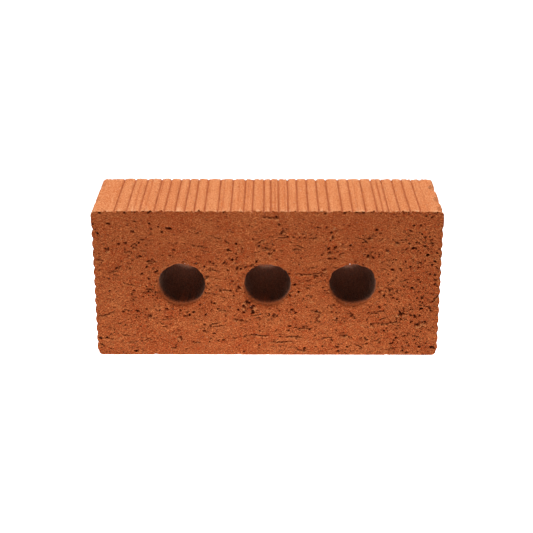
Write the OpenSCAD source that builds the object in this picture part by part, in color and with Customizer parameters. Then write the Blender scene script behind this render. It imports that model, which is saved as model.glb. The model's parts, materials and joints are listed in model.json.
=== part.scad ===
// Cored clay facing brick: one piece of fired clay, pushed through a die and cut off by wire.
// It stands on its smooth long side, with the scored long side up and the cores level.
// X runs along the length, Y through the brick from one cut bed to the other, and Z is up.
// The origin is at the middle of the side that it stands on.

/* [Body] */
// Length over the ribs of both ends
length = 203; // [170:1:300]
// Height as it stands, up to the tops of the scored ribs
height = 92; // [70:1:140]
// Thickness between the two wire-cut beds
thickness = 57; // [40:1:110]
// Radius of the four long edges that the die rounds
edge_radius = 2.5; // [1:0.5:3.5]

/* [Cores] */
// Number of cores in the row
core_count = 3; // [1:1:3]
// Diameter of each core
core_diameter = 27; // [15:0.5:32]
// Distance between the axes of neighbouring cores
core_pitch = 50; // [35:0.5:60]

/* [Scored side] */
// Smooth band left at each end of the scored side
smooth_band = 13.5; // [8:0.5:25]
// How far each rib bulges between its grooves
rib_rise = 0.3; // [0.1:0.1:0.6]
// Depth of each groove below the tops of the ribs
groove_depth = 1; // [0.7:0.1:2]
// Width of each groove, measured level with the tops of the ribs
groove_width = 1.6; // [0.6:0.1:2.4]

/* [Ribbed ends] */
// Height of the plain band at the top of each end, down to the first valley
end_band = 11.5; // [8:0.5:20]
// Distance between the valleys of the end ribs
end_rib_pitch = 6; // [4:0.5:12]
// How far each end rib bulges out of its valleys
end_rib_rise = 0.9; // [0.3:0.1:1.5]

/* [Hidden] */
$fn = 96;

// How far a cutter runs past the face that it cuts
overrun = 1;
// How far a rib's strip reaches into the clay under it
rib_root = 2;
// How far a rib's strip reaches into its neighbours, so that their bulges cross in the valley
rib_overlap = 0.2;
// Widths of the scored ribs from the left, uneven as the comb's teeth are; a longer side repeats them
rib_widths = [
    7, 7.5, 8.5, 6, 6, 5.5, 5.5, 6, 7.5, 7.5, 7.5, 5, 6.5, 4,
    4.5, 5.5, 5.5, 6, 6, 6, 7.5, 6, 7.5, 6.5, 6.5, 6.5, 6, 6
];

// The block that the ribs stand on
block_length = length - 2 * end_rib_rise;
block_height = height - rib_rise;

// The scored ribs, fitted between the smooth bands
scored_width = length - 2 * smooth_band;
rib_count = round(scored_width * len(rib_widths) / widths_before(len(rib_widths)));
rib_fit = scored_width / widths_before(rib_count);

// The end ribs, fitted between the lower rounded edges and the plain bands
end_rib_span = height - end_band - edge_radius;
end_rib_count = round(end_rib_span / end_rib_pitch);
end_rib_width = end_rib_span / end_rib_count;

// Nominal width of the rib with this number, counted from 0 at the left
function rib_width(i) = rib_widths[i % len(rib_widths)];

// Nominal width of all the ribs to the left of the one with this number
function widths_before(i) = i == 0 ? 0 : widths_before(i - 1) + rib_width(i - 1);

// Where the groove to the left of this rib lies along X
function groove_x(i) = rib_fit * widths_before(i) - scored_width / 2;

// A rib in section: a strip with a bulging top, whose highest point is at the origin
module rib_section(width, rise) {
    bulge_radius = width * width / (8 * rise) + rise / 2;
    intersection() {
        translate([0, -bulge_radius])
            circle(r = bulge_radius);
        translate([-width / 2 - rib_overlap, -rise - rib_root])
            square([width + 2 * rib_overlap, rise + rib_root + overrun]);
    }
}

// A groove in section: a V whose mouth is level with the origin
module groove_section() {
    polygon([[-groove_width / 2, 0], [0, -groove_depth], [groove_width / 2, 0]]);
}

// A rectangle with its four corners rounded, from one level up to another
module rounded_section(width, low, high) {
    translate([edge_radius - width / 2, low])
        square([width - 2 * edge_radius, high - low]);
    translate([-width / 2, low + edge_radius])
        square([width, high - low - 2 * edge_radius]);
    for (x = [-1, 1], z = [low + edge_radius, high - edge_radius])
        translate([x * (width / 2 - edge_radius), z])
            circle(r = edge_radius);
}

// The block in section, with the plain bands that stand level with the end ribs
module block_section() {
    rounded_section(block_length, 0, block_height);
    rounded_section(length, height - end_band, block_height);
}

// The scored ribs that stand on the block's top
module scored_rib_sections() {
    for (i = [0 : rib_count - 1])
        translate([(groove_x(i) + groove_x(i + 1)) / 2, height])
            rib_section(groove_x(i + 1) - groove_x(i), rib_rise);
}

// The ribs of both ends
module end_rib_sections() {
    for (side = [0, 1], i = [0 : end_rib_count - 1])
        mirror([side, 0])
            translate([length / 2, edge_radius + (i + 0.5) * end_rib_width])
                rotate(-90)
                    rib_section(end_rib_width, end_rib_rise);
}

// The outline that the die and its scoring comb give the clay
module column_section() {
    difference() {
        union() {
            block_section();
            scored_rib_sections();
            end_rib_sections();
        }
        for (i = [0 : rib_count])
            translate([groove_x(i), height])
                groove_section();
    }
}

// The cores, level and halfway up, through both beds
module cores() {
    for (i = [0 : core_count - 1])
        translate([(i - (core_count - 1) / 2) * core_pitch, 0, height / 2])
            rotate([90, 0, 0])
                cylinder(d = core_diameter, h = thickness + 2 * overrun, center = true);
}

// The whole brick
module brick() {
    color("#c46a3d")
        difference() {
            rotate([90, 0, 0])
                linear_extrude(height = thickness, center = true)
                    column_section();
            cores();
        }
}

brick();
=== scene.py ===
import json
import math
import random

import bmesh
import bpy
import numpy as np
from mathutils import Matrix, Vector, noise
from mathutils.geometry import delaunay_2d_cdt
from mathutils.kdtree import KDTree


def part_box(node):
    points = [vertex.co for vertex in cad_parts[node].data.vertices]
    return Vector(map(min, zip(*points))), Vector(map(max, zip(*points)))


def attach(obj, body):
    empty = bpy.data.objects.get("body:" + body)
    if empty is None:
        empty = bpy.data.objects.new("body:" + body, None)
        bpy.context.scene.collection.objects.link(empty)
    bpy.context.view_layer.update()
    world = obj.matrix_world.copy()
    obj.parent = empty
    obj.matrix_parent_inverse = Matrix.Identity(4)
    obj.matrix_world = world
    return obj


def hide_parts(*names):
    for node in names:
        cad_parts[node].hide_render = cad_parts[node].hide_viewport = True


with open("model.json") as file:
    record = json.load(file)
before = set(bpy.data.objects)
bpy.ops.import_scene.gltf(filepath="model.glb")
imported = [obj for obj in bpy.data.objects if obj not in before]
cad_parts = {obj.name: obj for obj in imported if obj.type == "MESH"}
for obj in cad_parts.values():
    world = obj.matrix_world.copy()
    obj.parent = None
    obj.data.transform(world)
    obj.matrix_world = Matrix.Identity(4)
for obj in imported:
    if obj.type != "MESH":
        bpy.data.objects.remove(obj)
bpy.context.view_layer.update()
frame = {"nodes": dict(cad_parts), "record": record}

# ------------------------------------------------------------------------------------------------
# The clay column. Stiff clay is pushed through a die whose comb scores the upper long side and
# ribs both ends, and three rods leave the cores. Lengths up to the mesh itself are in millimetres.
# ------------------------------------------------------------------------------------------------
MM = 0.001
FRONT, BACK = -1, 1
OUTLINE_STEP = 0.5
GROOVE_SPAN = 7

half_length, half_thickness, height = (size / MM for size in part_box("brick")[1])


def die_outline(node):
    """Points (x, z) round the brick where the die skin meets the front bed, anticlockwise."""
    shape = bmesh.new()
    shape.from_mesh(node.data)
    bmesh.ops.remove_doubles(shape, verts=shape.verts, dist=1e-6)
    neighbours = {}
    for edge in shape.edges:
        if sum(face.normal.y < -0.99 for face in edge.link_faces) == 1:
            for a, b in (edge.verts, reversed(edge.verts)):
                neighbours.setdefault(a, []).append(b)
    start = min(neighbours, key=lambda vert: vert.co.x)
    loop = [start, neighbours[start][0]]
    while loop[-1] != start:
        loop.append(next(vert for vert in neighbours[loop[-1]] if vert != loop[-2]))
    corners = np.array([(vert.co.x, vert.co.z) for vert in loop]) / MM
    shape.free()
    points = []
    for a, b in zip(corners, corners[1:]):
        parts = math.ceil(np.linalg.norm(b - a) / OUTLINE_STEP)
        points += [a + (b - a) * i / parts for i in range(parts)]
    points = np.array(points)
    ahead = np.roll(points, -1, axis=0)
    turns_left = np.sum(points[:, 0] * ahead[:, 1] - ahead[:, 0] * points[:, 1]) > 0
    return points if turns_left else points[::-1]


def outward(points):
    """Unit normals of a closed anticlockwise line, pointing out of it."""
    along = np.roll(points, -1, axis=0) - np.roll(points, 1, axis=0)
    normals = np.stack([along[:, 1], -along[:, 0]], axis=1)
    return normals / np.linalg.norm(normals, axis=1, keepdims=True)


outline = die_outline(frame["nodes"]["brick"])
skin_normals = outward(outline)

# How deep each point of the outline lies under the line that runs level with its neighbours:
# this marks the grooves and the valleys between the end ribs.
levelled = sum(np.roll(outline, i, axis=0) for i in range(-GROOVE_SPAN, GROOVE_SPAN + 1))
levelled /= 2 * GROOVE_SPAN + 1
groove_depths = np.clip(np.sum((levelled - outline) * outward(levelled), axis=1), 0, None)

cores = [
    (mount["pos_m"][0] / MM, mount["pos_m"][2] / MM, mount["dims"]["r_mm"])
    for mount in frame["record"]["mounts"]
    if mount["kind"] == "bore"
]


# ------------------------------------------------------------------------------------------------
# The two beds. A wire cuts the brick off the column. It drags the clay as it goes, so the face is
# torn in short level rips, pitted where grit was plucked out, and rolled into the cores' rims.
# ------------------------------------------------------------------------------------------------
BED_STEPS = {FRONT: 0.5, BACK: 0.72}
RIM_POINTS = 150
CUT_BELOW_BOX = 0.45
LEAST_DEPTH = 0.03
# Painted shade is full where a tear or pit lies this far below the even bed, and painted highlight is full
# where clay stands this far above it.
FULL_SHADE_DEPTH = 1.3
FULL_HIGHLIGHT_HEIGHT = 0.35


def fade(value, low, high):
    """0 below low, 1 above high and a smooth rise between them."""
    share = np.clip((value - low) / (high - low), 0, 1)
    return share * share * (3 - 2 * share)


def grain(points, size, octaves, seed):
    """Clay-like unevenness about as wide as size, from about -1 to 1, at each (x, z) or (x, y, z)."""
    third = (seed * 17.3,) if points.shape[1] == 2 else ()
    shift = Vector((seed * 3.1, seed * 5.7, seed * 7.9))
    return np.array([
        noise.fractal(Vector((*point, *third)) / size + shift, 0.9, 2.1, octaves) for point in points
    ])


def rim_line(core, side):
    """Angles and radii of a core's torn rim, with how far the wire rolled it in at each angle."""
    x, z, radius = core
    angles = np.arange(RIM_POINTS) * 2 * math.pi / RIM_POINTS
    around = np.stack([np.cos(angles), np.sin(angles)], axis=1) * radius + (x, z)
    torn = fade(np.sin(angles), -0.3, 0.5)
    ragged = grain(around, 1.5, 3, 11 + side) * (0.15 + 0.35 * torn)
    sway = grain(around, 8, 1, 13 + side) * 0.5
    shrunk = {
        FRONT: 0.8 * fade(np.sin(angles), 0.5, 1),
        BACK: 2.4 * fade(-np.sin(angles), 0.2, 0.9),
    }[side]
    rolled = {
        FRONT: 0.3 + 1.6 * fade(-np.sin(angles + 0.5), 0.1, 0.9),
        BACK: 0.3 + 1.2 * fade(np.sin(angles), 0, 0.9),
    }[side]
    return angles, radius + 0.3 + ragged + sway - shrunk, rolled


# The largest tears of the front bed: x, z, length, width, depth and slope in degrees.
front_tears = [
    (1, 88.2, 9, 0.5, 1.1, 0), (5.5, 88.2, 2.0, 0.9, 1.6, 10), (9, 79.5, 3.0, 0.7, 1.4, 25),
    (38, 76, 2.8, 0.7, 1.4, -60), (40, 80, 1.5, 0.7, 1.2, 0), (-92.7, 68.2, 2.6, 0.9, 1.6, 10),
    (-0.5, 69, 6, 0.5, 1.2, 0), (1.5, 65.8, 2.8, 0.7, 1.4, -8), (-5, 71, 2.0, 0.6, 1.2, 15),
    (36, 66, 2.2, 0.8, 1.5, 0), (58.5, 64.7, 1.6, 0.9, 1.8, 0), (25.5, 52.8, 22, 0.35, 0.9, 2),
    (33.3, 55.3, 3.0, 0.7, 1.5, 15), (-11.5, 34.5, 4.0, 1.1, 2.2, -40), (-8.8, 31.5, 3.4, 1.0, 2.0, 45),
    (-13.5, 31.8, 3.0, 0.9, 1.8, -15), (-17, 44, 3.2, 0.9, 1.6, 70), (-35.3, 51, 2.6, 0.8, 1.6, 0),
    (-95, 26.8, 10, 0.4, 1.2, 17), (98.8, 37.2, 6.0, 0.5, 1.5, 58), (95.4, 31.4, 2.0, 0.9, 1.6, 20),
    (-51.8, 11.2, 3.6, 0.7, 1.5, -38), (-4.5, 13.1, 13, 0.4, 1.1, 0), (15.5, 12, 11, 0.4, 1.1, 2),
    (9, 8.8, 14, 0.35, 1.0, 1), (45.5, 13.2, 5.6, 0.6, 1.4, 5), (29.8, 24, 6.2, 0.6, 1.3, 68),
    (71, 21.2, 19, 0.4, 1.1, 2), (62, 20.4, 2.4, 0.8, 1.5, 0), (89, 20.6, 5.0, 0.9, 1.8, 24),
    (93, 21.8, 3.2, 0.8, 1.6, -20), (78.5, 27, 2.4, 0.9, 1.6, -45), (-69.5, 25.5, 3.8, 0.6, 1.3, 48),
    (-18.5, 23.2, 3.0, 0.6, 1.4, 0), (-72, 74, 2.4, 0.5, 1.2, 0), (-77, 69, 2.6, 0.5, 1.3, 5),
    (-81, 66.5, 4.4, 0.4, 1.0, 4), (-86, 57.5, 1.2, 0.6, 1.5, 0), (75, 72.5, 2.6, 0.6, 1.6, -12),
    (59, 75.5, 2.2, 0.7, 1.5, 60), (69.5, 67.5, 2.0, 0.8, 1.6, 0), (22, 17.5, 9, 0.4, 1.0, 3),
]


def scatter_tears(dice, count):
    """Short level rips that the wire leaves all over a bed."""
    return [
        (
            dice.uniform(-half_length + 3, half_length - 3), 3 + (height - 14) * dice.random() ** 1.2,
            1.5 + 7 * dice.random() ** 3, dice.uniform(0.22, 0.4), dice.uniform(0.4, 1.1),
            dice.gauss(2, 12),
        )
        for _ in range(count)
    ]


def crowding(x, z):
    """How thickly the pits lie at a place on a bed, from 0 to 1."""
    patches = 0.5 + 0.5 * noise.noise(Vector((x / 14, z / 9, 4.2)))
    right_end = fade(x, 30, 95)
    near_core = max(1 - abs(math.dist((x, z + 4), core[:2]) - core[2] - 3) / 7 for core in cores)
    low_part = 1 - fade(z, 76, 88)
    share = 0.1 + 0.75 * patches ** 2 + 0.35 * right_end + 0.45 * max(0, near_core)
    return min(1, share * (0.25 + 0.75 * low_part))


def scatter_pits(dice, count):
    """Pits where grit was plucked out, and some crumbs left standing, which have a depth below 0:
    x, z, half length, half height, depth and slope in degrees."""
    pits = []
    while len(pits) < count:
        x, z = dice.uniform(-half_length + 1, half_length - 1), dice.uniform(1, height - 1)
        if dice.random() < crowding(x, z):
            reach = 0.22 + 0.45 * dice.random() ** 4
            stretch = 1 + 1.4 * dice.random() ** 2
            depth = reach * dice.choice((0.8, 1.0, 1.2, 1.5, 1.8, 2.2, 3.2))
            if dice.random() < 0.25:
                depth = -dice.uniform(0.12, 0.35)
            pits.append((x, z, reach * stretch, reach, depth, dice.gauss(0, 25)))
    return pits


def nick_arris(dice, count):
    """Nicks under the top arris of a bed, in the same terms as the pits."""
    nicks = []
    for _ in range(count):
        reach = 0.22 + 0.4 * dice.random() ** 3
        place = (dice.uniform(-half_length + 3, half_length - 3), height - 1.5 * dice.random() ** 2)
        half_size = (reach * dice.uniform(1, 2), reach)
        nicks.append((*place, *half_size, reach * dice.uniform(1, 3), dice.gauss(0, 20)))
    return nicks


def turned(points, x, z, slope):
    """Distances along and across a mark whose middle is at (x, z) and that slopes by so many degrees."""
    offset = points - (x, z)
    cos, sin = math.cos(math.radians(slope)), math.sin(math.radians(slope))
    return offset[:, 0] * cos + offset[:, 1] * sin, offset[:, 1] * cos - offset[:, 0] * sin


def tree_of(points):
    """A search tree of (x, z) points or (x, y, z) points."""
    tree = KDTree(len(points))
    for i, point in enumerate(points):
        tree.insert((*point, 0)[:3], i)
    tree.balance()
    return tree


def near(tree, place, reach):
    """Indices of the tree's points within reach of a place."""
    return np.array([i for _, i, _ in tree.find_range((*place, 0)[:3], reach)], dtype=int)


def mark_points(tears, pits):
    """Points that carry the shape of every tear and pit."""
    points = []
    for x, z, length, width, _, slope in tears:
        cos, sin = math.cos(math.radians(slope)), math.sin(math.radians(slope))
        for along in np.arange(-length / 2, length / 2 + 0.01, 0.4):
            points += [(x + along * cos - v * sin, z + along * sin + v * cos) for v in (-width, 0, width)]
    for x, z, reach, rise, _, slope in pits:
        cos, sin = math.cos(math.radians(slope)), math.sin(math.radians(slope))
        points.append((x, z))
        for turn in np.arange(6) * math.pi / 3:
            along, across = 1.15 * reach * math.cos(turn), 1.15 * rise * math.sin(turn)
            points.append((x + along * cos - across * sin, z + along * sin + across * cos))
    return points


def bed_triangles(points, side):
    """Triangles between a bed's points that leave the cores open."""
    loops = [len(outline)] + [RIM_POINTS] * len(cores)
    borders, start = [], 0
    for count in loops:
        borders += [(start + i, start + (i + 1) % count) for i in range(count)]
        start += count
    _, _, faces, sources, _, _ = delaunay_2d_cdt(list(map(Vector, points)), borders, [], 1, 1e-6)
    triangles = np.array([[sources[corner][0] for corner in face] for face in faces])
    middles = points[triangles].mean(axis=1)
    for core in cores:
        angles, radii, _ = rim_line(core, side)
        offset = middles - core[:2]
        turn = np.arctan2(offset[:, 1], offset[:, 0]) % (2 * math.pi)
        solid = np.linalg.norm(offset, axis=1) > np.interp(turn, angles, radii, period=2 * math.pi)
        triangles, middles = triangles[solid], middles[solid]
    return triangles


def cut_bed(side, tears, pits):
    """One bed: its points (x, z), how deep each lies under the bed's plane, how much painted shade its
    hollows and painted highlight its raised clay get, and its triangles. The outline comes first in the
    points, then each core's rim."""
    rims = []
    for core in cores:
        angles, radii, _ = rim_line(core, side)
        rims.append(np.stack([np.cos(angles), np.sin(angles)], axis=1) * radii[:, None] + core[:2])
    edge = np.concatenate([outline, *rims])

    step = BED_STEPS[side]
    dice = random.Random(20 + side)
    grid = [
        (x + dice.uniform(-0.25, 0.25) * step, z + dice.uniform(-0.25, 0.25) * step)
        for row, z in enumerate(np.arange(step, height, step * 0.87))
        for x in np.arange(-half_length + row % 2 * step / 2, half_length, step)
    ]
    edge_tree = tree_of(edge)
    marks = [mark for mark in mark_points(tears, pits) if edge_tree.find((*mark, 0))[2] > 0.3]
    fixed_tree = tree_of(np.concatenate([edge, np.array(marks)]))
    fill = [point for point in grid if fixed_tree.find((*point, 0))[2] > step * 0.55]
    points = np.concatenate([edge, np.array(marks), np.array(fill)])

    depth = CUT_BELOW_BOX + 0.14 * grain(points, 34, 2, side)
    depth += 0.09 * grain(points * (0.5, 1), 3.0, 3, 2 + side)
    depth += 0.13 * grain(points * (0.75, 1), 0.9, 2, 5 + side)
    even = depth.copy()
    tree = tree_of(points)
    # A tear wavers, is broken along its length, and has a low lip along one side.
    for x, z, length, width, deep, slope in tears:
        hit = near(tree, (x, z), length / 2 + 3 * width)
        along, across = turned(points[hit], x, z, slope)
        across = across + 0.4 * width * np.sin(along * 2.1 + x) + 0.3 * np.sin(along * 0.5 + z)
        run = np.clip(1 - (2 * along / length) ** 2, 0, 1) ** 0.5
        broken = 0.65 + 0.35 * np.sin(along * 3.7 + z) * np.sin(along * 1.3 + x)
        depth[hit] += deep * run * broken * np.exp(-((across / width) ** 2))
        depth[hit] -= 0.25 * deep * run * np.exp(-(((across + 1.6 * width) / width) ** 2))
    # A pit is a round scoop, and a crumb is the same shape standing out of the bed.
    for x, z, reach, rise, deep, slope in pits:
        hit = near(tree, (x, z), reach)
        along, across = turned(points[hit], x, z, slope)
        share = np.clip(1 - (along / reach) ** 2 - (across / rise) ** 2, 0, 1)
        depth[hit] += deep * share ** 0.5
    # Painted shade grows with how far a tear or pit sinks below the even bed, and painted highlight with
    # how far a crumb or lip stands out of it.
    painted_shade = np.clip((depth - even) / FULL_SHADE_DEPTH, 0, 1)
    painted_highlight = np.clip((even - depth) / FULL_HIGHLIGHT_HEIGHT, 0, 1)
    # The clay round each core is rolled over into its rim.
    for core in cores:
        angles, radii, rolled = rim_line(core, side)
        offset = points - core[:2]
        turn = np.arctan2(offset[:, 1], offset[:, 0]) % (2 * math.pi)
        roll = np.interp(turn, angles, rolled, period=2 * math.pi)
        rim = np.interp(turn, angles, radii, period=2 * math.pi)
        inside = np.clip(roll - (np.linalg.norm(offset, axis=1) - rim), 0, roll)
        depth += roll - np.sqrt(roll ** 2 - inside ** 2)
    return points, np.clip(depth, LEAST_DEPTH, None), painted_shade, painted_highlight, bed_triangles(points, side)


beds = {
    FRONT: cut_bed(
        FRONT,
        front_tears + scatter_tears(random.Random(1), 240),
        scatter_pits(random.Random(2), 4300) + nick_arris(random.Random(6), 260),
    ),
    BACK: cut_bed(
        BACK,
        scatter_tears(random.Random(3), 220),
        scatter_pits(random.Random(4), 1800) + nick_arris(random.Random(7), 200),
    ),
}

# ------------------------------------------------------------------------------------------------
# The die skin and the walls of the cores. Both run straight from bed to bed. The skin is smooth,
# the comb's teeth leave grooves with finer scratches between them; painted shade darkens the grooves and
# painted highlight lightens ragged patches along the skin at the beds.
# ------------------------------------------------------------------------------------------------
SKIN_ROWS = 60
CORE_ROWS = 24
BUNCHING = 0.1
RIM_REACH = {FRONT: 2.2, BACK: 10}

# Fine scratches of the scored side: x and depth.
scratches = [
    (-77, 0.25), (-70.3, 0.3), (-63.7, 0.3), (-26, 0.3), (-17, 0.2), (-11.5, 0.25),
    (4.5, 0.3), (10.3, 0.25), (36, 0.15), (52, 0.2), (66.3, 0.35), (71, 0.15), (90, 0.15), (92.5, 0.2),
]


def rows_between(front_depth, back_depth, steps):
    """Y of each row of a strip that runs from the front bed to the back one, closer at both beds."""
    share = np.linspace(0, 1, steps)
    share = share - BUNCHING * np.sin(share * 2 * math.pi)
    front = -half_thickness + front_depth
    back = half_thickness - back_depth
    return front + (back - front) * share[:, None]


count = len(outline)
rows_y = rows_between(beds[FRONT][1][:count], beds[BACK][1][:count], SKIN_ROWS)
skin = np.empty((SKIN_ROWS, count, 3))
skin[:, :, 0], skin[:, :, 1], skin[:, :, 2] = outline[:, 0], rows_y, outline[:, 1]
flat = skin.reshape(-1, 3)
drift = grain(flat * (1, 0.4, 1), 16, 2, 31).reshape(SKIN_ROWS, count)
ragged = grain(flat, 1.8, 2, 33).reshape(SKIN_ROWS, count)
swell = grain(flat * (1, 0.35, 1), 7, 3, 35).reshape(SKIN_ROWS, count)
scored = (outline[:, 1] > height - 2) & (np.abs(outline[:, 0]) < half_length - 5)
right_end = (outline[:, 0] > half_length - 2) & (outline[:, 1] > 4) & (outline[:, 1] < height - 4)
scratched = sum(
    depth * np.exp(-(((outline[:, 0] - x) / 0.4) ** 2)) for x, depth in scratches
) * (outline[:, 1] > height - 2) * (1 + 0.6 * drift)
sunk = np.clip(0.07 + 0.06 * swell + groove_depths * 0.3 * ragged + scratched, 0, None)
sunk = np.where(right_end, sunk - 0.45 * groove_depths, sunk)
skin[:, :, 0] += 0.2 * drift * scored - skin_normals[:, 0] * sunk
skin[:, :, 2] -= skin_normals[:, 1] * sunk * (outline[:, 1] > 1)
at_bed = fade(np.abs(skin[:, :, 1]), half_thickness - 1.6, half_thickness - 0.6)
# Painted shade in the grooves, scratches and the valleys between the end ribs; painted highlight in ragged
# patches near the beds, kept out of the shaded grooves.
skin_painted_shade = np.clip(groove_depths * (1 + 0.3 * ragged) + 1.5 * scratched, 0, 1)
skin_painted_highlight = at_bed * fade(ragged, -0.3, 0.4) * (1 - skin_painted_shade)

# The rims' torn outlines fade out along the walls. Clay is smeared over both rims, and painted shade
# darkens the wall most a little way in from the front one, where little light reaches.
walls, smeared, wall_shade = [], [], []
for number, core in enumerate(cores):
    angles, front_radii, front_rolled = rim_line(core, FRONT)
    _, back_radii, _ = rim_line(core, BACK)
    first = count + number * RIM_POINTS
    ends = slice(first, first + RIM_POINTS)
    wall_y = rows_between(beds[FRONT][1][ends], beds[BACK][1][ends], CORE_ROWS)
    inward = wall_y - wall_y[0]
    outwards = wall_y[-1] - wall_y
    at_front = (front_radii - core[2]) * np.exp(-inward / RIM_REACH[FRONT])
    at_back = (back_radii - core[2]) * np.exp(-outwards / RIM_REACH[BACK])
    radius = core[2] + at_front + at_back
    walls.append(np.stack([
        core[0] + radius * np.cos(angles), wall_y, core[1] + radius * np.sin(angles)
    ], axis=2))
    smeared_front = fade(1 - inward / (0.8 + 3 * front_rolled), 0, 1)
    smeared_back = fade(1 - outwards / 1.5, 0, 1)
    smeared.append(smeared_front + smeared_back)
    # Painted shade in the core: none at the front rim, strongest about 3 to 6 mm in and gone by 22 mm.
    wall_shade.append(0.75 * fade(inward, 0, 3) * fade(22 - inward, 0, 16))

# ------------------------------------------------------------------------------------------------
# Fired clay, unglazed and matt. The die leaves a pale skin with streaks along the push; the wire
# lays bare a redder, grainy body with pores and specks of pale grit; the cores' walls are browner.
# Each finish has a painted shade colour for hollows and pores and a painted highlight colour for raised
# clay.
# ------------------------------------------------------------------------------------------------
def node(tree, kind, inputs=None, **settings):
    """A new shader node with its settings, its inputs set to values or linked to other sockets."""
    made = tree.nodes.new(kind)
    for name, value in settings.items():
        setattr(made, name, value)
    for name, value in (inputs or {}).items():
        if isinstance(value, bpy.types.NodeSocket):
            tree.links.new(value, made.inputs[name])
        else:
            made.inputs[name].default_value = value
    return made


def blend(tree, factor, a, b, mode="MIX"):
    """A colour that goes from a to b as the factor goes from 0 to 1."""
    mix = tree.nodes.new("ShaderNodeMix")
    mix.data_type, mix.blend_type = "RGBA", mode
    for socket, value in ((mix.inputs["Factor"], factor), (mix.inputs[6], a), (mix.inputs[7], b)):
        if isinstance(value, bpy.types.NodeSocket):
            tree.links.new(value, socket)
        else:
            socket.default_value = value
    return mix.outputs[2]


def new_group(name, inputs, outputs):
    """A shader node group with number inputs and outputs, and its two end nodes."""
    group = bpy.data.node_groups.new(name, "ShaderNodeTree")
    for label, value in inputs.items():
        socket = group.interface.new_socket(label, in_out="INPUT", socket_type="NodeSocketFloat")
        socket.default_value = value
    for label in outputs:
        group.interface.new_socket(label, in_out="OUTPUT", socket_type="NodeSocketFloat")
    return group, group.nodes.new("NodeGroupInput"), group.nodes.new("NodeGroupOutput")


def grain_group():
    """Grain and blotches of the fired clay. Drag draws both out along X, Streak the blotches along Y
    and, half as much, the grain."""
    group, given, result = new_group(
        "clay_grain", {"Streak": 1, "Drag": 1, "Fineness": 1000, "Breadth": 60}, ("Grain", "Blotch")
    )
    place = node(group, "ShaderNodeTexCoord").outputs["Object"]
    softer = node(group, "ShaderNodeMath", {
        0: given.outputs["Streak"], 1: 0.5, 2: 0.5,
    }, operation="MULTIPLY_ADD")
    for socket, along_y, scale in (
        ("Grain", softer.outputs[0], given.outputs["Fineness"]),
        ("Blotch", given.outputs["Streak"], given.outputs["Breadth"]),
    ):
        stretch = node(group, "ShaderNodeCombineXYZ", {"X": given.outputs["Drag"], "Y": along_y, "Z": 1})
        drawn = node(group, "ShaderNodeVectorMath", {0: place, 1: stretch.outputs[0]}, operation="MULTIPLY")
        uneven = node(group, "ShaderNodeTexNoise", {
            "Vector": drawn.outputs[0], "Scale": scale, "Detail": 4, "Roughness": 0.6,
        })
        spread = node(group, "ShaderNodeMapRange", {
            "Value": uneven.outputs["Fac"], "From Min": 0.39, "From Max": 0.61,
        })
        group.links.new(spread.outputs["Result"], result.inputs[socket])
    return group


def specks_group():
    """Scattered specks: Share of the cells of a Scale hold one, Size across compared with its cell."""
    group, given, result = new_group(
        "clay_specks", {"Scale": 500, "Share": 0.3, "Size": 0.3, "Drag": 1}, ("Speck",)
    )
    place = node(group, "ShaderNodeTexCoord").outputs["Object"]
    stretch = node(group, "ShaderNodeCombineXYZ", {"X": given.outputs["Drag"], "Y": 1, "Z": 1})
    drawn = node(group, "ShaderNodeVectorMath", {0: place, 1: stretch.outputs[0]}, operation="MULTIPLY")
    cells = node(group, "ShaderNodeTexVoronoi", {
        "Vector": drawn.outputs[0], "Scale": given.outputs["Scale"],
    })
    pick = node(group, "ShaderNodeSeparateColor", {"Color": cells.outputs["Color"]})
    held = node(group, "ShaderNodeMath", {
        0: pick.outputs["Red"], 1: given.outputs["Share"],
    }, operation="LESS_THAN")
    size = node(group, "ShaderNodeMath", {
        0: pick.outputs["Green"], 1: given.outputs["Size"],
    }, operation="MULTIPLY")
    falls = node(group, "ShaderNodeMapRange", {
        "Value": cells.outputs["Distance"], "From Min": size.outputs[0], "From Max": 0,
    }, interpolation_type="SMOOTHSTEP")
    speck = node(group, "ShaderNodeMath", {
        0: falls.outputs["Result"], 1: held.outputs[0],
    }, operation="MULTIPLY")
    group.links.new(speck.outputs[0], result.inputs["Speck"])
    return group


clay_grain = grain_group()
clay_specks = specks_group()
blotch_share = 0.22
rolled_clay = (0.44, 0.105, 0.03, 1)
pale_grit = (0.55, 0.34, 0.22, 1)


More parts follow.
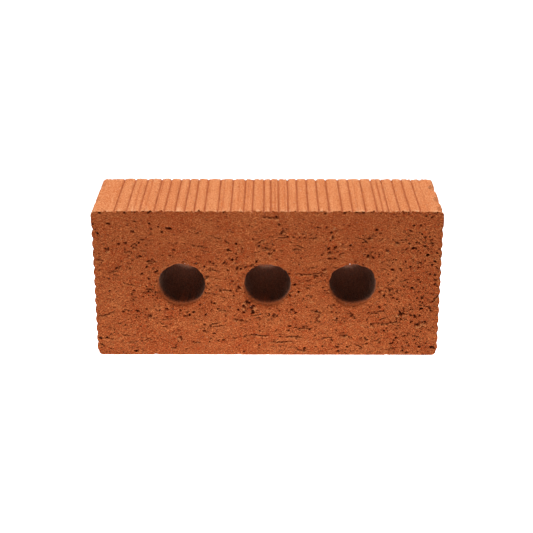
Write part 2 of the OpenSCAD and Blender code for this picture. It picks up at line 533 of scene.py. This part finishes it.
def clay(name, pale, deep, painted_shade, painted_highlight, streak, drag, breadth, fineness, pores, grit, relief):
    """One finish of the fired clay: its grain runs from deep to pale, with a painted shade colour for its
    hollows and pores and a painted highlight colour for its raised clay, a share of pores and of grit
    specks, and its fine relief in metres."""
    material = bpy.data.materials.new(name)
    material.use_nodes = True
    tree = material.node_tree
    tree.nodes.clear()
    grain_node = node(tree, "ShaderNodeGroup", node_tree=clay_grain)
    grain_node.inputs["Streak"].default_value = streak
    grain_node.inputs["Drag"].default_value = drag
    grain_node.inputs["Breadth"].default_value = breadth
    grain_node.inputs["Fineness"].default_value = fineness
    pore_node = node(tree, "ShaderNodeGroup", node_tree=clay_specks)
    pore_node.inputs["Scale"].default_value = 850
    pore_node.inputs["Share"].default_value = pores
    pore_node.inputs["Size"].default_value = 0.7
    pore_node.inputs["Drag"].default_value = drag
    grit_node = node(tree, "ShaderNodeGroup", node_tree=clay_specks)
    grit_node.inputs["Scale"].default_value = 700
    grit_node.inputs["Share"].default_value = grit
    grit_node.inputs["Size"].default_value = 0.5
    shade_mask = node(tree, "ShaderNodeAttribute", attribute_name="painted_shade").outputs["Fac"]
    standing = node(tree, "ShaderNodeAttribute", attribute_name="painted_highlight").outputs["Fac"]
    rolled_in = node(tree, "ShaderNodeAttribute", attribute_name="smeared").outputs["Fac"]
    broad = node(tree, "ShaderNodeMath", {
        0: grain_node.outputs["Blotch"], 1: blotch_share,
    }, operation="MULTIPLY")
    mixed = node(tree, "ShaderNodeMath", {
        0: grain_node.outputs["Grain"], 1: 1 - blotch_share, 2: broad.outputs[0],
    }, operation="MULTIPLY_ADD")
    colour = blend(tree, mixed.outputs[0], (*deep, 1), (*pale, 1))
    # Painted highlight where clay stands out, then painted shade in the pores and in the hollows.
    colour = blend(tree, standing, colour, (*painted_highlight, 1))
    colour = blend(tree, pore_node.outputs["Speck"], colour, (*painted_shade, 1))
    colour = blend(tree, shade_mask, colour, (*painted_shade, 1))
    colour = blend(tree, rolled_in, colour, rolled_clay)
    colour = blend(tree, grit_node.outputs["Speck"], colour, pale_grit)
    sunk = node(tree, "ShaderNodeMath", {
        0: pore_node.outputs["Speck"], 1: -0.8, 2: grain_node.outputs["Grain"],
    }, operation="MULTIPLY_ADD")
    bump = node(tree, "ShaderNodeBump", {
        "Strength": 1.0, "Distance": relief, "Height": sunk.outputs[0],
    })
    shader = node(tree, "ShaderNodeBsdfPrincipled", {
        "Base Color": colour, "Roughness": 0.92, "Specular IOR Level": 0.1,
        "Normal": bump.outputs["Normal"],
    })
    node(tree, "ShaderNodeOutputMaterial", {"Surface": shader.outputs["BSDF"]})
    return material


finishes = [
    clay(
        "cut_face", pale=(0.61, 0.176, 0.052), deep=(0.36, 0.044, 0.006), painted_shade=(0.14, 0.020, 0.005),
        painted_highlight=(0.66, 0.23, 0.08), streak=1, drag=0.7, breadth=70, fineness=1900, pores=0.4, grit=0.12,
        relief=0.0007,
    ),
    clay(
        "die_skin", pale=(0.67, 0.275, 0.118), deep=(0.49, 0.128, 0.037), painted_shade=(0.33, 0.070, 0.022),
        painted_highlight=(0.70, 0.34, 0.17), streak=0.1, drag=1, breadth=300, fineness=1500, pores=0.2, grit=0.05,
        relief=0.0003,
    ),
    clay(
        "core_wall", pale=(0.34, 0.175, 0.115), deep=(0.25, 0.120, 0.080), painted_shade=(0.1, 0.05, 0.03),
        painted_highlight=(0.4, 0.2, 0.13), streak=0.12, drag=1, breadth=200, fineness=900, pores=0.1, grit=0,
        relief=0.0002,
    ),
]

# ------------------------------------------------------------------------------------------------
# The brick as one surface: skin, core walls and beds share their border points. Its long edges at
# the beds are chipped all along, and a few larger knocks have taken off more.
# ------------------------------------------------------------------------------------------------
MOST_TRIANGLES = 196_000
CUT_FACE, DIE_SKIN, CORE_WALL = 0, 1, 2
CHIPS = 1000
SHARP_FROM = math.radians(55)

# Knocked places: x, y, z and size.
knocks = [
    (-half_length, half_thickness, height, 5), (half_length, 12, height, 7.5),
    (half_length, -7, height, 7), (half_length, -21, height, 6.5),
    (-half_length, 14, height, 5.5), (-half_length, -8, height, 5),
    (half_length, half_thickness, 0, 4), (-half_length, half_thickness, 0, 3),
    (half_length, -half_thickness, 44, 1.8), (half_length, -half_thickness, 51, 2),
]

vertices = [skin.reshape(-1, 3)] + [wall.reshape(-1, 3) for wall in walls]
painted_shades = [skin_painted_shade.ravel()] + [core_shade.ravel() for core_shade in wall_shade]
painted_highlights = [skin_painted_highlight.ravel()] + [np.zeros(smear.size) for smear in smeared]
smears = [np.zeros(skin_painted_shade.size)] + [smear.ravel() for smear in smeared]
starts = np.cumsum([0] + [len(part) for part in vertices])
quads, materials = [], []
for start, rows, columns, material in (
    [(0, SKIN_ROWS, count, DIE_SKIN)]
    + [(starts[1 + i], CORE_ROWS, RIM_POINTS, CORE_WALL) for i in range(len(cores))]
):
    for row in range(rows - 1):
        for column in range(columns):
            after = (column + 1) % columns
            near_row, far_row = start + row * columns, start + (row + 1) * columns
            quads.append((near_row + column, near_row + after, far_row + after, far_row + column))
            materials.append(material)

triangles = []
for side, (points, depth, painted_shade, painted_highlight, faces) in beds.items():
    strip_row = {FRONT: 0, BACK: -1}[side]
    shared = [np.arange(starts[0], starts[1]).reshape(SKIN_ROWS, count)[strip_row]]
    for i in range(len(cores)):
        wall_indices = np.arange(starts[1 + i], starts[2 + i]).reshape(CORE_ROWS, RIM_POINTS)
        shared.append(wall_indices[strip_row])
    shared = np.concatenate(shared)
    inner = points[len(shared):]
    first_inner = sum(len(part) for part in vertices)
    index_of = np.concatenate([shared, np.arange(first_inner, first_inner + len(inner))])
    inner_y = side * (half_thickness - depth[len(shared):])
    vertices.append(np.stack([inner[:, 0], inner_y, inner[:, 1]], axis=1))
    painted_shades.append(painted_shade[len(shared):])
    painted_highlights.append(painted_highlight[len(shared):])
    smears.append(np.zeros(len(inner)))
    triangles += index_of[faces].tolist()
    materials += [CUT_FACE] * len(faces)
vertices, painted_shades = np.concatenate(vertices), np.concatenate(painted_shades)
painted_highlights, smears = np.concatenate(painted_highlights), np.concatenate(smears)


def chip(points, tree, place, size):
    """Scoops a dent of this size out of the clay at a place on its edge."""
    centre = np.array(place)
    centre += (centre - (0, 0, height / 2)) / (half_length, half_thickness, height / 2) * size * 0.35
    hit = near(tree, centre, size)
    if len(hit):
        away = points[hit] - centre
        reach = np.linalg.norm(away, axis=1, keepdims=True)
        points[hit] = centre + away / np.maximum(reach, 0.01) * size


tree = tree_of(vertices)
for *place, size in knocks:
    chip(vertices, tree, place, size)
dice = random.Random(5)
for _ in range(CHIPS):
    x, z = outline[dice.randrange(count)]
    if z > 0 or dice.random() < 0.2:
        size = 0.8 + 1.3 * dice.random() ** 4
        chip(vertices, tree, (x, dice.choice((FRONT, BACK)) * half_thickness, z), size)

mesh = bpy.data.meshes.new("brick_clay")
mesh.from_pydata((vertices * MM).tolist(), [], quads + triangles)
for finish in finishes:
    mesh.materials.append(finish)
mesh.polygons.foreach_set("material_index", materials)
# The painted shade and painted highlight masks and the smear go to the mesh as point attributes.
for name, values in (("painted_shade", painted_shades), ("painted_highlight", painted_highlights), ("smeared", smears)):
    mesh.attributes.new(name, "FLOAT", "POINT").data.foreach_set("value", values)
shape = bmesh.new()
shape.from_mesh(mesh)
bmesh.ops.recalc_face_normals(shape, faces=shape.faces)
bmesh.ops.triangulate(shape, faces=shape.faces)
shape.to_mesh(mesh)
shape.free()

brick = bpy.data.objects.new("fired_brick", mesh)
bpy.context.scene.collection.objects.link(brick)
thin_out = brick.modifiers.new("thin_out", "DECIMATE")
thin_out.ratio = MOST_TRIANGLES / len(mesh.polygons)
bpy.context.view_layer.update()
thinned = bpy.data.meshes.new_from_object(brick.evaluated_get(bpy.context.evaluated_depsgraph_get()))
brick.modifiers.clear()
brick.data = thinned
most = Vector((half_length, half_thickness, height)) * MM
for vertex in thinned.vertices:
    vertex.co.x = max(-most.x, min(most.x, vertex.co.x))
    vertex.co.y = max(-most.y, min(most.y, vertex.co.y))
    vertex.co.z = max(0, min(most.z, vertex.co.z))
thinned.shade_smooth()
thinned.set_sharp_from_angle(angle=SHARP_FROM)
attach(brick, "root")
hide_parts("brick")

# ------------------------------------------------------------------------------------------------
# The studio: a white table that glows softly under the brick, a large soft light overhead and a
# surround that looks white, but lights the brick only dimly and mostly from high up behind it.
# ------------------------------------------------------------------------------------------------
floor_mesh = bpy.data.meshes.new("floor")
floor_mesh.from_pydata([(-6, -6, 0), (6, -6, 0), (6, 6, 0), (-6, 6, 0)], [], [(0, 1, 2, 3)])
floor = bpy.data.objects.new("floor", floor_mesh)
bpy.context.scene.collection.objects.link(floor)
table = bpy.data.materials.new("white_table")
table.use_nodes = True
white = table.node_tree.nodes["Principled BSDF"]
white.inputs["Base Color"].default_value = (0.3, 0.3, 0.3, 1)
white.inputs["Roughness"].default_value = 0.9
white.inputs["Emission Color"].default_value = (1, 1, 1, 1)
middle = node(table.node_tree, "ShaderNodeTexCoord").outputs["Object"]
spread = node(table.node_tree, "ShaderNodeMapping", {"Vector": middle, "Scale": (3.2, 3.2, 3.2)})
pool = node(table.node_tree, "ShaderNodeTexGradient", {
    "Vector": spread.outputs[0],
}, gradient_type="SPHERICAL")
glow = node(table.node_tree, "ShaderNodeMapRange", {
    "Value": pool.outputs["Fac"], "To Min": 0.85, "To Max": 3.0,
})
table.node_tree.links.new(glow.outputs["Result"], white.inputs["Emission Strength"])
floor_mesh.materials.append(table)

overhead = bpy.data.objects.new("overhead", bpy.data.lights.new("overhead", "AREA"))
overhead.data.shape = "RECTANGLE"
overhead.data.size, overhead.data.size_y = 1.6, 0.7
overhead.data.energy = 29
overhead.location = (0, -0.02, 1.3)
bpy.context.scene.collection.objects.link(overhead)

world = bpy.data.worlds.new("surround")
bpy.context.scene.world = world
world.use_nodes = True
seen = node(world.node_tree, "ShaderNodeLightPath")
way = node(world.node_tree, "ShaderNodeTexCoord").outputs["Generated"]
high_behind = node(world.node_tree, "ShaderNodeVectorMath", {
    0: way, 1: (0, 0.5, 0.85),
}, operation="DOT_PRODUCT")
sky = node(world.node_tree, "ShaderNodeMapRange", {
    "Value": high_behind.outputs["Value"], "From Min": -0.5, "From Max": 0.85,
    "To Min": 0.02, "To Max": 0.27,
})
swap = node(world.node_tree, "ShaderNodeMix", {
    "A": sky.outputs["Result"], "B": 1.0, "Factor": seen.outputs["Is Camera Ray"],
})
surround = world.node_tree.nodes["Background"]
surround.inputs["Color"].default_value = (1, 1, 1, 1)
world.node_tree.links.new(swap.outputs["Result"], surround.inputs["Strength"])

bpy.context.scene.view_settings.view_transform = "Standard"

# ------------------------------------------------------------------------------------------------
# The camera, a little above the brick and square to its front bed. It tilts down at the brick, and
# a small shift of its frame takes up part of that tilt, so that the uprights stay nearly parallel.
# ------------------------------------------------------------------------------------------------
camera = bpy.data.objects.new("camera", bpy.data.cameras.new("camera"))
camera.location = (0.002, -0.667, 0.337)
camera.rotation_euler = (math.radians(90 - 19.8), 0, math.radians(0.22))
camera.data.lens = 80.8
camera.data.shift_y = -0.15
bpy.context.scene.collection.objects.link(camera)
bpy.context.scene.camera = camera
